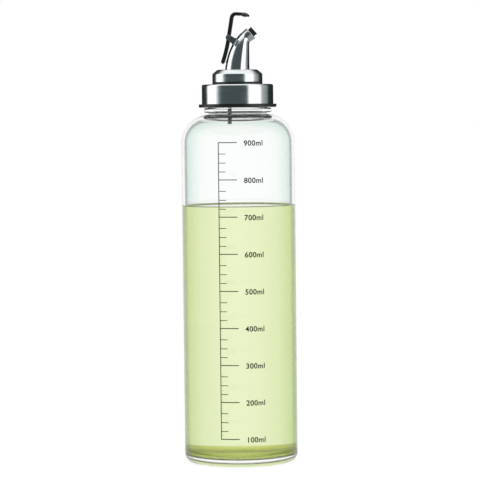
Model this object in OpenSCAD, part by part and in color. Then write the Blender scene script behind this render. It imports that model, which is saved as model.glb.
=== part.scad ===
// Glass oil bottle with a screw-on steel collar, a swivelling bent spout and a tilting flap.
// Millimetres. Origin at the centre of the base, +Z up, spout towards +X.
// The flap is drawn open; it closes by a turn about +Y through its hinge pin.

/* [Bottle body] */
// Outside diameter of the straight glass body
body_dia = 76; // [60:0.5:96]
// Height at which the straight wall ends and the round shoulder starts
straight_top = 214.3; // [150:0.1:280]
// Thickness of the glass wall
glass_t = 2; // [1.2:0.1:3.5]
// Thickness of the glass base at its middle
base_t = 5.5; // [3:0.1:9]
// Rounding radius where the wall meets the base outside
heel_r = 6; // [3:0.1:9]
// Diameter of the shallow hollow under the base
punt_dia = 48; // [30:0.5:56]
// Depth of the hollow under the base
punt_depth = 1.2; // [0.5:0.1:2.5]

/* [Neck] */
// Inside diameter of the neck
neck_bore = 34; // [30:0.1:40]
// Thickness of the neck wall under the thread
neck_t = 2.6; // [2:0.1:4]
// Height of the neck from the top of the shoulder to the rim
neck_h = 16.1; // [13:0.1:20]
// How far the support bead stands out from the neck
bead_out = 3.1; // [1.5:0.1:4]
// Height of the support bead
bead_h = 3.3; // [2:0.1:5]
// Rounding of the fire-polished rim
rim_round = 1; // [0.4:0.1:1.2]

/* [Thread] */
// Rise of the thread per turn
pitch = 4; // [3:0.1:5]
// Height of the glass thread above the neck wall
thread_out = 1.6; // [1:0.1:2]
// Radial gap between the thread crests and the opposite roots
thread_gap = 0.35; // [0.2:0.05:0.8]

/* [Collar] */
// Diameter of the brushed steel shell
shell_dia = 47.8; // [46:0.1:60]
// Sheet thickness of the shell
shell_t = 0.5; // [0.3:0.05:1]
// Rounding of the shell's upper edge
shell_edge = 1.3; // [0.6:0.1:2]
// Diameter of the black flange under the shell
flange_dia = 52; // [50:0.1:64]
// Thickness of the black flange
flange_h = 2.2; // [1.5:0.1:4]
// Thickness of the insert's top plate
insert_top = 1.7; // [1.2:0.1:3]
// Thickness of the sealing ring on the rim
gasket_t = 1.5; // [1:0.1:2.5]

/* [Stopper] */
// Diameter of the stopper's fins, which fill the socket
plug_dia = 26.8; // [22:0.1:28]
// Length of the plug below the collar's top
plug_len = 10.1; // [8:0.1:12]
// Thickness of the stopper's flange above the collar
lip_h = 1.5; // [1:0.1:3]

/* [Dome and shank] */
// Diameter of the steel dome
dome_dia = 33.5; // [28:0.1:41]
// Height of the steel dome
dome_h = 8.4; // [7:0.1:11]
// Height of the dome's sloping upper edge
dome_edge = 3; // [1.5:0.1:4]
// Inward run of the dome's sloping upper edge
dome_run = 3.5; // [2:0.1:4.5]
// Sheet thickness of the dome
dome_t = 0.6; // [0.4:0.1:1]
// Diameter of the shank tube that turns in the stopper
shank_dia = 14.8; // [12:0.1:15]
// Wall of the shank tube
shank_t = 0.5; // [0.3:0.05:0.8]

/* [Spout] */
// Outside diameter of the spout at its foot
foot_dia = 16.3; // [15.4:0.1:20]
// Outside diameter of the spout at its mouth
mouth_dia = 8.7; // [8:0.1:10.5]
// Wall of the spout tube
spout_t = 0.6; // [0.4:0.05:0.9]
// Sideways reach of the mouth from the bottle's axis
reach = 9.3; // [8:0.1:13]
// Height of the mouth above the dome
rise = 24.05; // [20:0.1:30]
// Angle of the mouth above the horizontal
mouth_tilt = 41.8; // [30:0.1:60]
// Height of the sharp inner bend above the dome
bend_h = 18.1; // [14:0.1:23]
// Lean of the spout's back at the foot
back_lean = 7.4; // [3:0.1:12]
// How long the spout's back keeps its lean before it bends
back_pull = 19.5; // [14:0.1:24]
// How long the spout's back keeps the mouth's direction
mouth_pull = 3; // [1:0.1:6]
// Thickness of the rolled ring at the mouth
ring_t = 1; // [0.6:0.1:2]
// Bore of the soft tip
tip_bore = 4.4; // [3:0.1:5]
// Distance the soft tip stands out of the mouth
tip_out = 2.87; // [2:0.01:4]
// Diameter of the soft tip's end flange
tip_dia = 6.4; // [5.6:0.1:7]

/* [Vent tube] */
// Outside diameter of the vent tube
vent_dia = 2.8; // [2:0.1:3.2]
// Bore of the vent tube
vent_bore = 1.7; // [1:0.1:2]
// Depth of the vent tube's end below the rim
vent_drop = 21.8; // [15:0.1:60]
// Height of the air hole above the dome
vent_rise = 4.6; // [3:0.1:8]

/* [Flap] */
// Turn from the open flap to the closed flap
close_turn = 38; // [25:1:60]
// Distance of the hinge pin from the spout's back
hinge_off = 4.44; // [3.5:0.01:6]
// Diameter of the hinge pin
pin_dia = 1.4; // [1:0.1:2]
// Thickness of each hinge ear
ear_t = 0.6; // [0.4:0.1:1]
// Width of the lever between the ears
lever_w = 5; // [4:0.1:6]
// Thickness of the lever's arm in side view
arm_t = 2.75; // [2:0.05:3.5]
// Thickness of the lever's top bar in side view
top_t = 2.2; // [1.6:0.05:3]
// Distance of the elbow behind the cap's middle
elbow_back = 8.12; // [6:0.01:11]
// Radius of the elbow's middle line
elbow_r = 2.9; // [1.5:0.1:4]
// Length of the tail from the hinge pin
tail_len = 18; // [12:0.1:22]
// Thickness of the tail in side view
tail_t = 2.7; // [2:0.05:3.5]
// Lean of the tail away from the spout where it leaves the hinge
tail_lean = 9; // [4:0.1:15]
// Further lean that the tail's end takes
tail_curl = 4.9; // [0:0.1:10]
// Diameter of the flap's round cap
cap_dia = 7; // [6.4:0.1:9]
// Height of the flap's round cap
cap_h = 2.45; // [2:0.05:4]
// Height of the cap's straight edge
cap_edge = 1; // [0.5:0.05:1.8]
// Diameter of the soft pad under the cap
pad_dia = 5.8; // [5:0.1:6.2]
// Height of the pad's button, which enters the tip's bore
button_h = 0.35; // [0.2:0.05:0.5]
// Gap round the button in the tip's bore
button_gap = 0.9; // [0.4:0.05:1.2]

/* [Hidden] */
$fn = 96;

// How far a cutter runs past the face it cuts
past = 1;

// Radii and heights of the glass
body_r = body_dia / 2;
bore_r = neck_bore / 2;
neck_r = bore_r + neck_t;
shoulder_tuck = 0.6;
shoulder_r = body_r - neck_r + shoulder_tuck;
shoulder_in = shoulder_r - glass_t;
shoulder_z = straight_top + shoulder_r;
inner_r = body_r - glass_t;
heel_step = 1;
inner_heel = heel_r - heel_step;
rim_z = shoulder_z + neck_h;
bead_r = neck_r + bead_out;
bead_gap = 0.9;
bead_z0 = shoulder_z + bead_gap;
bead_z1 = bead_z0 + bead_h;
bead_curve = 0.38;
bead_round = bead_h * bead_curve;
throat_round = 1.5;
punt_ball = (pow(punt_dia / 2, 2) + pow(punt_depth, 2)) / (2 * punt_depth);
crest_r = neck_r + thread_out;
thread_sink = 0.25;

// Radii and heights of the collar
flange_r = flange_dia / 2;
flange_gap = 0.3;
flange_z0 = bead_z1 + flange_gap;
flange_z1 = flange_z0 + flange_h;
flange_curve = 0.3;
shell_r = shell_dia / 2;
skirt_r = shell_r - shell_t;
root_r = crest_r + thread_gap;
insert_crest = neck_r + thread_gap;
gasket_z1 = rim_z + gasket_t;
insert_z1 = gasket_z1 + insert_top;
shell_top_t = 0.6;
collar_z = insert_z1 + shell_top_t;
gasket_gap = 0.25;

// The screw thread: heights where the glass thread starts and ends, half widths of the glass
// thread and of the cap's thread at their roots and crests, and the cap thread's place below it
thread_z0 = flange_z1 + 1.3;
thread_z1 = rim_z - 2;
glass_w0 = 1.15;
glass_w1 = 0.45;
cap_w0 = 0.95;
cap_w1 = 0.4;
thread_play = 0.1;
glass_w = mix(glass_w0, glass_w1, (insert_crest - neck_r + thread_sink) / (thread_out + thread_sink));
cap_thread_z0 = thread_z0 - glass_w - cap_w1 - thread_play;
cap_thread_z1 = rim_z - 2.1;
ridge_steps = 40;
ridge_fade = 4;

// Radii and heights of the stopper and the swivel
plug_r = plug_dia / 2;
socket_gap = 0.1;
socket_r = plug_r + socket_gap;
socket_wall = 1.8;
ring_r = socket_r + socket_wall;
plug_z0 = collar_z - plug_len;
lip_z1 = collar_z + lip_h;
dome_r = dome_dia / 2;
dome_step = 0.2;
lip_seat = 1.5;
lip_r = max(dome_r - dome_step, ring_r + lip_seat);
dome_z = lip_z1 + dome_h;
shank_r = shank_dia / 2;
shank_lip = 0.8;
shank_lip_h = 1;
swivel_gap = 0.05;
fin_out = 0.9;
fin_z0 = plug_z0 + shank_lip_h + swivel_gap;
fin_pitch = plug_len * 0.36;
fin_h = plug_len * 0.14;
hub_r = dome_r - dome_t - 0.5;
hub_z = dome_z - dome_t - 0.35;
hub_cone_h = dome_edge + 0.4;
hub_cone_w = hub_cone_h * 1.25;

// Corners of the dome's sloping edge, as shares of its run and of its height
dome_corners = [[0, 1], [0.07, 0.72], [0.62, 0.2], [0.85, 0.05], [1.1, 0]];
dome_in_edge = dome_edge - dome_t * 0.6;
dome_in_run = dome_run - dome_t * 0.3;

// Place of the vent tube beside the shank's wall, and height of its air hole
vent_gap = 0.1;
vent_x = -(shank_r - shank_t - vent_dia / 2 - vent_gap);
vent_z = dome_z + vent_rise;
vent_u = 0.09;
vent_proud = 0.15;

// The spout's two rails in side view, as points [x, z]
foot_r = foot_dia / 2;
mouth_r = mouth_dia / 2;
axis_d = [cos(mouth_tilt), sin(mouth_tilt)];
axis_n = [-sin(mouth_tilt), cos(mouth_tilt)];
mouth = [reach, dome_z + rise];
back_0 = [-foot_r, dome_z];
back_3 = mouth + mouth_r * axis_n - ring_t * axis_d;
back_1 = back_0 + back_pull * [sin(back_lean), cos(back_lean)];
back_2 = back_3 - mouth_pull * axis_d;
front_0 = [foot_r, dome_z];
front_3 = mouth - mouth_r * axis_n - ring_t * axis_d;
corner = [foot_r, dome_z + bend_h];
corner_cut = 1.3;
front_1 = corner - [0, corner_cut];
front_2 = corner + corner_cut * unit(front_3 - corner);
rail_a = 0.74;
rail_b = 0.86;
spout_steps = 26;
spout_segs = 36;

// The mouth's ring and the soft tip, whose plug narrows as the tube does behind the mouth
ring_round = ring_t * 0.45;
tip_step = 0.2;
tip_neck = tip_dia / 2 - tip_step;
tip_flange_h = 0.7;
tip_plug_r = mouth_r - spout_t - 0.15;
tip_plug_len = 1.6;
wall_d = unit(front_3 - corner);
tip_plug_in = tip_plug_r + tip_plug_len * (wall_d * axis_n) / (wall_d * axis_d);

// The hinge and the closed flap
hinge_u = 0.4617;
hinge_foot = rail_back(hinge_u);
nudge = 0.01;
hinge_dir = unit(rail_back(hinge_u + nudge) - rail_back(hinge_u - nudge));
hinge_out = [-hinge_dir[1], hinge_dir[0]];
pivot = hinge_foot + hinge_off * hinge_out;
pin_r = pin_dia / 2;
ear_r = pin_r + 1.3;
hub_wall = 1.25;
lever_play = 0.3;
slot_w = lever_w + lever_play;
ear_y = slot_w / 2 + ear_t;
ear_up = 2;
ear_down = 2.1;
ear_sink = 0.5;
head_t = 0.35;
head_out = 0.4;
saddle_a = 10;
saddle_b = 14;
saddle_half = 5;
saddle_t = 0.7;
seat_gap = 0.05;
cap_seat = mouth + (tip_out + seat_gap) * axis_d;
cap_r = cap_dia / 2;
// The hinge pin seen from the cap's seat: along the cap, and above it
pin_u = -(pivot - cap_seat) * axis_n;
pin_v = (pivot - cap_seat) * axis_d;
// The lever's elbow and the inner end of its top bar, in the same directions
elbow_z = 0.34;
top_z = 1.1;
arm_steps = 8;
elbow = [-elbow_back, elbow_z];
top_in = [-cap_r / 2, top_z];
lever_pts = arm_points([pin_u, pin_v], elbow, top_in);
tail_r = tail_t / 2;
knee_share = 0.45;
tail_steps = 6;
tail_knee = pivot + tail_len * knee_share * [-sin(tail_lean), -cos(tail_lean)];
tail_tip = pivot + (tail_len - tail_r) * [-sin(tail_lean + tail_curl), -cos(tail_lean + tail_curl)];
pad_t = 0.5;
pad_proud = 0.12;
seat_relief = 0.2;
button_r = tip_bore / 2 - button_gap;
pin_gap = 0.05;
bore_len = 20;
steel = [0.72, 0.73, 0.74];
black = [0.06, 0.06, 0.065];

function unit(v) = v / norm(v);
function mix(a, b, t) = a + (b - a) * t;
function quad(a, b, c, t) = mix(mix(a, b, t), mix(b, c, t), t);
function cubic(a, b, c, d, t) = mix(quad(a, b, c, t), quad(b, c, d, t), t);
function rail_back(u) = cubic(back_0, back_1, back_2, back_3, u);
function rail_front(u) =
    u <= rail_a ? mix(front_0, front_1, u / rail_a) :
    u >= rail_b ? mix(front_2, front_3, (u - rail_b) / (1 - rail_b)) :
    quad(front_1, corner, front_2, (u - rail_a) / (rail_b - rail_a));

// Middle line of the lever's arm from pin a, round the elbow at b, to c
function arm_points(a, b, c) =
    let (v = unit(b - a), w = unit(c - b), turn = acos(v * w), cut = elbow_r * tan(turn / 2),
         hub = b - cut * v + elbow_r * [v[1], -v[0]])
    concat([a],
           [for (i = [0:arm_steps]) hub + elbow_r * turned([-v[1], v[0]], -turn * i / arm_steps)],
           [c]);

function turned(v, a) = [v[0] * cos(a) - v[1] * sin(a), v[0] * sin(a) + v[1] * cos(a)];

// Outline of a band along the points p, t0 thick at its start and t1 at its end
function band(p, t0, t1) =
    let (n = len(p) - 1)
    concat([for (i = [0:n]) band_edge(p, i, mix(t0, t1, i / n) / 2)],
           [for (i = [n:-1:0]) band_edge(p, i, -mix(t0, t1, i / n) / 2)]);
function band_edge(p, i, h) =
    let (n = len(p) - 1, d = unit(p[min(i + 1, n)] - p[max(i - 1, 0)]))
    p[i] + h * [-d[1], d[0]];

// One ring of the spout at u, grown outwards by g
function spout_ring(u, g) =
    let (b = rail_back(u), f = rail_front(u), c = (b + f) / 2, e = unit(b - f), r = norm(b - f) / 2 + g)
    [for (k = [0:spout_segs - 1])
        let (a = 360 * k / spout_segs)
        [c[0] + r * cos(a) * e[0], r * sin(a), c[1] + r * cos(a) * e[1]]];

// Joins rings of n points each into walls; flip turns the faces over
function walls(from, rings, n, flip) =
    [for (i = [0:rings - 2]) for (k = [0:n - 1]) for (h = [0, 1])
        let (a = from + i * n + k, b = from + i * n + (k + 1) % n,
             f = h == 0 ? [b + n, a + n, a] : [b, b + n, a])
        flip ? [f[2], f[1], f[0]] : f];

// Fills the gap between two rings of n points that start at p and q
function between(p, q, n) =
    [for (k = [0:n - 1]) for (h = [0, 1])
        let (j = (k + 1) % n)
        h == 0 ? [q + j, p + j, p + k] : [q + k, q + j, p + k]];

// The spout's tube wall from foot to mouth
module spout_wall() {
    n = spout_segs;
    m = spout_steps + 1;
    outer = [for (i = [0:spout_steps]) spout_ring(i / spout_steps, 0)];
    inner = [for (i = [0:spout_steps]) spout_ring(i / spout_steps, -spout_t)];
    pts = [for (r = concat(outer, inner)) for (p = r) p];
    faces = concat(walls(0, m, n, false), walls(m * n, m, n, true),
                   between(0, m * n, n), between((2 * m - 1) * n, (m - 1) * n, n));
    polyhedron(points = pts, faces = faces, convexity = 6);
}

// A curved sheet of thickness t on the spout's back, between two of its steps
module back_sheet(i0, i1, half, t) {
    n = 2 * (2 * half + 1);
    low = [for (i = [i0:i1]) sheet_loop(i / spout_steps, half, t)];
    pts = [for (r = low) for (p = r) p];
    q = half * 2;
    foot = [for (k = [0:q - 1]) for (h = [0, 1])
        h == 0 ? [n - 2 - k, k + 1, k] : [n - 1 - k, n - 2 - k, k]];
    top = (i1 - i0) * n;
    head = [for (f = foot) [f[2] + top, f[1] + top, f[0] + top]];
    polyhedron(points = pts, faces = concat(walls(0, i1 - i0 + 1, n, false), foot, head), convexity = 6);
}

// Outline of the sheet at u: along the tube's skin and back at distance t
function sheet_loop(u, half, t) =
    let (a = spout_ring(u, t), b = spout_ring(u, 0), n = spout_segs)
    concat([for (k = [-half:half]) a[(k + n) % n]], [for (k = [-half:half]) b[(n - k) % n]]);

// A screw ridge: w0 and w1 are half its width at radius r0 and at radius r1
module ridge(r0, r1, w0, w1, z0, turns) {
    n = ceil(turns * ridge_steps);
    pts = [for (i = [0:n])
        let (a = 360 * turns * i / n, z = z0 + pitch * turns * i / n,
             k = min(1, (0.4 + i) / ridge_fade, (0.4 + n - i) / ridge_fade), r = r0 + (r1 - r0) * k,
             w = w0 + (w1 - w0) * k)
        for (p = [[r0, -w0], [r, -w], [r, w], [r0, w0]])
            [p[0] * cos(a), p[0] * sin(a), z + p[1]]];
    turn_in = r0 > r1;
    sides = [for (i = [0:n - 1]) for (j = [0:3]) for (h = [0, 1])
        let (a = i * 4 + j, b = i * 4 + (j + 1) % 4)
        h == 0 ? [a, a + 4, b + 4] : [a, b + 4, b]];
    ends = [[0, 1, 2], [0, 2, 3], [n * 4, n * 4 + 2, n * 4 + 1], [n * 4, n * 4 + 3, n * 4 + 2]];
    all_faces = concat(sides, ends);
    faced = turn_in ? all_faces : [for (f = all_faces) [f[2], f[1], f[0]]];
    polyhedron(points = pts, faces = faced, convexity = 6);
}

// A quarter disc of radius r with its corner at c, opening towards sx and sz
module quarter(c, r, sx, sz) {
    translate(c) intersection() {
        circle(r);
        translate([sx > 0 ? 0 : -r, sz > 0 ? 0 : -r]) square(r);
    }
}

// A rectangle given by two opposite corners
module rect(p, q) {
    translate(p) square([q[0] - p[0], q[1] - p[1]]);
}

// A half section with its outer top edge rounded by e
module round_top(r, z0, z1, e) {
    rect([0, z0], [r, z1 - e]);
    rect([0, z1 - e], [r - e, z1]);
    quarter([r - e, z1 - e], e, 1, 1);
}

// A half section with its outer bottom edge rounded by e
module round_foot(r, z0, z1, e) {
    rect([0, z0 + e], [r, z1]);
    rect([0, z0], [r - e, z0 + e]);
    quarter([r - e, z0 + e], e, 1, -1);
}

// Turns a side view drawn in x and z into a plate centred on y = 0
module side_plate(w) {
    rotate([90, 0, 0]) linear_extrude(height = w, center = true) children();
}

// Places children in the mouth's frame: their +Z leaves the mouth
module at_mouth() {
    translate([mouth[0], 0, mouth[1]]) rotate([0, 90 - mouth_tilt, 0]) children();
}

// Opens the flap: turns children back about the hinge pin from the closed pose
module opened() {
    translate([pivot[0], 0, pivot[1]]) rotate([0, -close_turn, 0])
        translate([-pivot[0], 0, -pivot[1]]) children();
}

// Places a side view drawn from the cap's seat into the closed pose
module at_seat() {
    translate([cap_seat[0], 0, cap_seat[1]]) rotate([0, 90 - mouth_tilt, 0]) children();
}

// Outer half section of the glass below the neck
module body_outline() {
    round_foot(body_r, 0, straight_top, heel_r);
    rect([0, straight_top], [body_r - shoulder_r, shoulder_z]);
    quarter([body_r - shoulder_r, straight_top], shoulder_r, 1, 1);
}

// Inner half section of the bottle
module cavity_outline() {
    round_foot(inner_r, base_t, straight_top, inner_heel);
    rect([0, straight_top], [body_r - shoulder_r, straight_top + shoulder_in]);
    quarter([body_r - shoulder_r, straight_top], shoulder_in, 1, 1);
    rect([0, shoulder_z - glass_t], [bore_r, rim_z + past]);
    difference() {
        rect([bore_r, shoulder_z - glass_t], [bore_r + throat_round, shoulder_z - glass_t + throat_round]);
        translate([bore_r + throat_round, shoulder_z - glass_t + throat_round]) circle(throat_round);
    }
}

// Glass body with base, shoulder, support bead, rim and screw thread
module bottle_glass() color([0.86, 0.93, 0.91, 0.35]) {
    rotate_extrude() difference() {
        union() {
            body_outline();
            rect([0, straight_top], [neck_r, rim_z - rim_round]);
            rect([0, rim_z - rim_round], [neck_r - rim_round, rim_z]);
            quarter([neck_r - rim_round, rim_z - rim_round], rim_round, 1, 1);
            rect([0, bead_z0 + bead_round], [bead_r, bead_z1 - bead_round]);
            rect([0, bead_z0], [bead_r - bead_round, bead_z1]);
            quarter([bead_r - bead_round, bead_z1 - bead_round], bead_round, 1, 1);
            quarter([bead_r - bead_round, bead_z0 + bead_round], bead_round, 1, -1);
        }
        cavity_outline();
        translate([0, punt_depth - punt_ball]) circle(punt_ball);
    }
    ridge(neck_r - thread_sink, crest_r, glass_w0, glass_w1, thread_z0, (thread_z1 - thread_z0) / pitch);
}

// Brushed steel skin over the screw cap
module collar_shell() color(steel) {
    rotate_extrude() difference() {
        round_top(shell_r, flange_z1, collar_z, shell_edge);
        round_top(skirt_r, flange_z1 - past, insert_z1, shell_edge - shell_t);
        rect([0, insert_z1 - past], [ring_r, collar_z + past]);
    }
}

// Black screw cap: flange, threaded skirt, top plate and socket for the stopper
module collar_insert() color(black) {
    rotate_extrude() difference() {
        union() {
            round_foot(flange_r, flange_z0, flange_z1, flange_h * flange_curve);
            round_top(skirt_r, flange_z1, insert_z1, shell_edge - shell_t);
            rect([0, insert_z1], [ring_r, collar_z]);
        }
        difference() {
            rect([0, flange_z0 - past], [root_r, gasket_z1]);
            rect([0, plug_z0 - past], [ring_r, gasket_z1]);
        }
        rect([0, flange_z0 - past], [socket_r, collar_z + past]);
    }
    turns = (cap_thread_z1 - cap_thread_z0) / pitch;
    ridge(root_r + thread_sink, insert_crest, cap_w0, cap_w1, cap_thread_z0, turns);
}

// Soft ring between the rim and the screw cap
module neck_gasket() color([0.12, 0.12, 0.12]) {
    rotate_extrude() rect([bore_r - gasket_gap, rim_z], [root_r - gasket_gap, gasket_z1]);
}

// Soft stopper: plug with three fins, flange on the collar and hub inside the dome
module stopper() color(black) {
    cone_z = hub_z - hub_cone_h;
    rotate_extrude() difference() {
        union() {
            rect([0, fin_z0], [plug_r - fin_out, collar_z]);
            for (i = [0:2]) translate([0, fin_z0 + i * fin_pitch]) square([plug_r, fin_h]);
            rect([0, collar_z], [lip_r, lip_z1]);
            rect([0, lip_z1], [hub_r, cone_z]);
            polygon([[0, cone_z], [hub_r, cone_z], [hub_r - hub_cone_w, hub_z], [0, hub_z]]);
        }
        rect([0, plug_z0 - past], [shank_r + swivel_gap, dome_z]);
    }
}

// Steel dome that turns with the spout
module pourer_dome() color(steel) {
    rotate_extrude() difference() {
        union() {
            rect([0, lip_z1], [dome_r, dome_z - dome_edge]);
            dome_slope(dome_r, dome_z, dome_edge, dome_run);
        }
        rect([0, lip_z1 - past], [dome_r - dome_t, dome_z - dome_t - dome_in_edge]);
        dome_slope(dome_r - dome_t, dome_z - dome_t, dome_in_edge, dome_in_run);
        rect([0, lip_z1], [shank_r, dome_z + past]);
    }
}

// Sloping upper edge of the dome, e high and w wide, softened at its two corners
module dome_slope(r, z, e, w) {
    polygon(concat([[0, z - e]], [for (c = dome_corners) [r - w * c[0], z - e * c[1]]], [[0, z]]));
}

// Steel tube through the stopper, with a turned-out lip that holds the pourer in
module shank_tube() color(steel) {
    rotate_extrude() difference() {
        union() {
            rect([0, plug_z0], [shank_r, dome_z]);
            rect([0, plug_z0], [shank_r + shank_lip, plug_z0 + shank_lip_h]);
        }
        rect([0, plug_z0 - past], [shank_r - shank_t, dome_z + past]);
    }
}

// Bent steel tube, wide at the foot and narrow at the mouth, with an air hole at the back
module spout_tube() color(steel) {
    difference() {
        spout_wall();
        translate([-foot_r - past, 0, vent_z]) rotate([0, 90, 0])
            cylinder(r = vent_dia / 2, h = foot_r + past + vent_x);
    }
}

// Rolled ring that closes the end of the spout
module mouth_ring() color([0.82, 0.83, 0.84]) {
    at_mouth() rotate_extrude() difference() {
        round_top(mouth_r, -ring_t, 0, ring_round);
        rect([0, -ring_t - past], [tip_neck, past]);
    }
}

// Soft nozzle held in the mouth ring
module tip_insert() color(black) {
    plug_z = -ring_t - tip_plug_len;
    at_mouth() rotate_extrude() difference() {
        union() {
            polygon([[0, plug_z], [tip_plug_in, plug_z], [tip_plug_r, -ring_t], [0, -ring_t]]);
            rect([0, -ring_t], [tip_neck, tip_out]);
            round_top(tip_dia / 2, tip_out - tip_flange_h, tip_out, tip_step);
        }
        rect([0, plug_z - past], [tip_bore / 2, tip_out + past]);
    }
}

// Upright and side branch of the vent tube's path at radius r; past is how far each end runs on
module vent_path(r, past_out, past_down) {
    z0 = rim_z - vent_drop - past_down;
    x0 = rail_back(vent_u)[0] - past_out;
    translate([vent_x, 0, z0]) cylinder(r = r, h = vent_z + r - z0);
    translate([x0, 0, vent_z]) rotate([0, 90, 0]) cylinder(r = r, h = vent_x - x0);
}

// Thin air tube from the back of the spout down into the neck
module vent_tube() color(black) {
    difference() {
        vent_path(vent_dia / 2, vent_proud, 0);
        vent_path(vent_bore / 2, past, past);
    }
}

// Side view of the hinge ears, from the pin down into the saddle
module ear_view() {
    up = hinge_dir;
    foot = hinge_foot - ear_sink * hinge_out;
    translate(pivot) circle(ear_r);
    polygon([pivot + ear_r * turned(hinge_out, -58), foot + ear_up * up,
             foot - ear_down * up, pivot + ear_r * turned(hinge_out, 72)]);
}

// Folded saddle on the spout's back with an ear on each side of the lever
module hinge_bracket() color([0.32, 0.36, 0.38]) {
    difference() {
        for (s = [-1, 1]) translate([0, s * (slot_w + ear_t) / 2, 0]) side_plate(ear_t) ear_view();
        translate([pivot[0], 0, pivot[1]]) rotate([90, 0, 0])
            cylinder(r = pin_r, h = bore_len, center = true);
    }
    back_sheet(saddle_a, saddle_b, saddle_half, saddle_t);
}

// Hinge pin with a flat head outside each ear
module hinge_pin() color([0.25, 0.26, 0.27]) {
    translate([pivot[0], 0, pivot[1]]) rotate([90, 0, 0]) {
        cylinder(r = pin_r, h = ear_y * 2, center = true);
        for (s = [-1, 1]) translate([0, 0, s * (ear_y + head_t / 2)])
            cylinder(r = pin_r + head_out, h = head_t, center = true);
    }
}

// Side view of the tail, with the flap open
module tail_view() {
    line = [for (i = [0:tail_steps]) quad(pivot, tail_knee, tail_tip, i / tail_steps)];
    polygon(band(line, tail_t, tail_t));
    translate(tail_tip) circle(tail_r);
}

// Round cap of the flap, flat below and domed above
module cap_solid() {
    rise_h = cap_h - cap_edge;
    ball = (pow(cap_r, 2) + pow(rise_h, 2)) / (2 * rise_h);
    rotate_extrude() {
        rect([0, pad_proud], [cap_r, cap_edge]);
        intersection() {
            rect([0, cap_edge], [cap_r, cap_h]);
            translate([0, cap_h - ball]) circle(ball);
        }
    }
}

// Black lever in one piece: tail, hub, arm and round cap
module flap_lever() color(black) {
    difference() {
        union() {
            opened() at_seat() {
                side_plate(lever_w) polygon(band(lever_pts, arm_t, top_t));
                cap_solid();
            }
            side_plate(lever_w) translate(pivot) circle(pin_r + hub_wall);
            side_plate(lever_w) tail_view();
        }
        translate([pivot[0], 0, pivot[1]]) rotate([90, 0, 0])
            cylinder(r = pin_r + pin_gap, h = bore_len, center = true);
        opened() at_seat() translate([0, 0, -past]) {
            cylinder(r = pad_dia / 2, h = past + pad_t);
            cylinder(r = tip_dia / 2 + seat_relief, h = past + pad_proud);
        }
    }
}

// Soft pad under the cap, with a low button that enters the tip's bore
module flap_pad() color([0.1, 0.1, 0.1]) {
    opened() at_seat() rotate_extrude() {
        rect([0, 0], [pad_dia / 2, pad_t]);
        rect([0, -button_h], [button_r, 0]);
    }
}

bottle_glass();
collar_shell();
collar_insert();
neck_gasket();
stopper();
pourer_dome();
shank_tube();
spout_tube();
mouth_ring();
tip_insert();
vent_tube();
hinge_bracket();
hinge_pin();
flap_lever();
flap_pad();
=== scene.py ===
import math

import bmesh
import bpy
from mathutils import Matrix, Vector


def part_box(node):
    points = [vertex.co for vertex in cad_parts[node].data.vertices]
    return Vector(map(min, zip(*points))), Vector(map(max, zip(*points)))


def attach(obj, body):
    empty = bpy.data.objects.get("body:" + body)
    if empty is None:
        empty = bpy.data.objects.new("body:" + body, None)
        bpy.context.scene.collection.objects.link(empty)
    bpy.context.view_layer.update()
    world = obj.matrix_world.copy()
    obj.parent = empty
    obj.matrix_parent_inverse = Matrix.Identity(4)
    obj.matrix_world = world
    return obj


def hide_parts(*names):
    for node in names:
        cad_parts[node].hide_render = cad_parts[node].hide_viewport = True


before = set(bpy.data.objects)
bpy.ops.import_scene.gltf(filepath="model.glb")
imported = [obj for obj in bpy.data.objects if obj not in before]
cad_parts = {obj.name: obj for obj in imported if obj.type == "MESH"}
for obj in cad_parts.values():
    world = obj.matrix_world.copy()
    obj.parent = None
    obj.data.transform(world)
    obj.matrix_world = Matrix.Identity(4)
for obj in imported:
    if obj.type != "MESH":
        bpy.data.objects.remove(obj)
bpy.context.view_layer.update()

MM = 0.001
TAU = 2 * math.pi
SEGS = 192          # steps round a large turned piece
FINE_SEGS = 64      # steps round a small one
ARC_STEP = 10       # degrees between the points of a rounded corner
CREASE = math.radians(38)


# ---------------------------------------------------------------- sizes from the frame
def span(node):
    low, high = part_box(node)
    return [c / MM for c in low], [c / MM for c in high]


GLASS, SHELL = span("bottle_glass"), span("collar_shell")
DOME, VENT = span("pourer_dome"), span("vent_tube")

# glass
BODY_R, RIM_Z = GLASS[1][0], GLASS[1][2]
GLASS_T, BASE_T = 2.0, 5.5
HEEL_R, PUNT_R, PUNT_H = 6.0, 24.0, 1.2
PUNT_EDGE, FOOT_ROUND = 23, 1.5             # where the hollow meets the rounded standing ring
HEEL_TOP = BASE_T + 3.4                     # the oil gathers its colour in the curve below this, where the heel glass carries painted shade
NECK_H, BORE_R, NECK_T = 16.1, 17.0, 2.6
SHOULDER_TUCK = 0.6
SHOULDER_Z = RIM_Z - NECK_H
NECK_R = BORE_R + NECK_T
SHOULDER_R = BODY_R - NECK_R + SHOULDER_TUCK
STRAIGHT_TOP = SHOULDER_Z - SHOULDER_R
INNER_R = BODY_R - GLASS_T
THROAT_Z = SHOULDER_Z - 3.0                 # the inner wall carries its painted dark edge shade only below this
THROAT_ROUND, RIM_ROUND = 1.4, 1.0
BEAD_Z0, BEAD_H, BEAD_OUT, BEAD_ROUND = SHOULDER_Z + 0.9, 3.3, 3.1, 1.25
PITCH, THREAD_OUT, THREAD_Z0, THREAD_TURNS = 4.0, 1.6, 241.3, 1.525
THREAD_FOOT, THREAD_CREST, THREAD_FADE = 1.055, 0.45, 0.08
THREAD_ROWS, ROW_Z0, ROW_STEP = 44, 239.4, 0.2      # mesh rows that carry the thread
WALL_STEP = 20                              # height between the mesh rows of a straight wall

# oil
OIL_Z = 172.1
WETTING = 0.2                               # how far the oil's skin lies inside the glass wall
MENISCUS, MENISCUS_RUN, MENISCUS_STEPS = 0.7, 4.0, 8

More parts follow.
